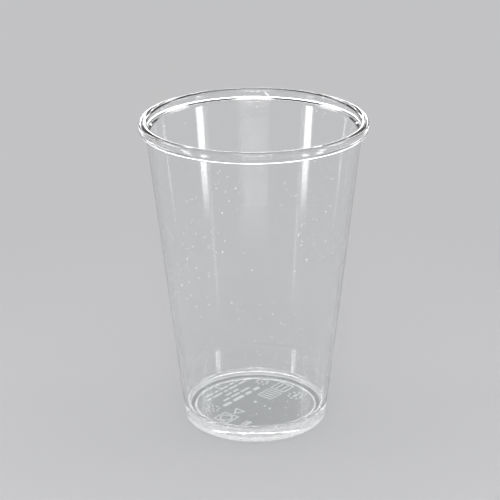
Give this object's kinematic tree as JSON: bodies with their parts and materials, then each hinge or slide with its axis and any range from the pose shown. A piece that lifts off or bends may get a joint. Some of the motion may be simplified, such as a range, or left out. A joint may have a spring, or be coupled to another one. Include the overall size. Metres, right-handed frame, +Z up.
{
  "type": "drinking tumbler",
  "caption": "Clear moulded plastic tumbler, tapered and straight-sided, with a rounded lip, an inner ledge under it and a thick floor over a shallow recess.",
  "frame": {"origin": "centre of the standing ring, on the plane the cup stands on", "axes": "+Z up along the axis of the cup, out of its mouth; +X to the right and +Y away from a viewer who faces the cup"},
  "size_m": [0.084, 0.084, 0.1183],
  "materials": {
    "clear_plastic": "clear, polished, water-white"
  },
  "bodies": {
    "root": {"tumbler_cup": "clear_plastic"}
  },
  "joints": []
}
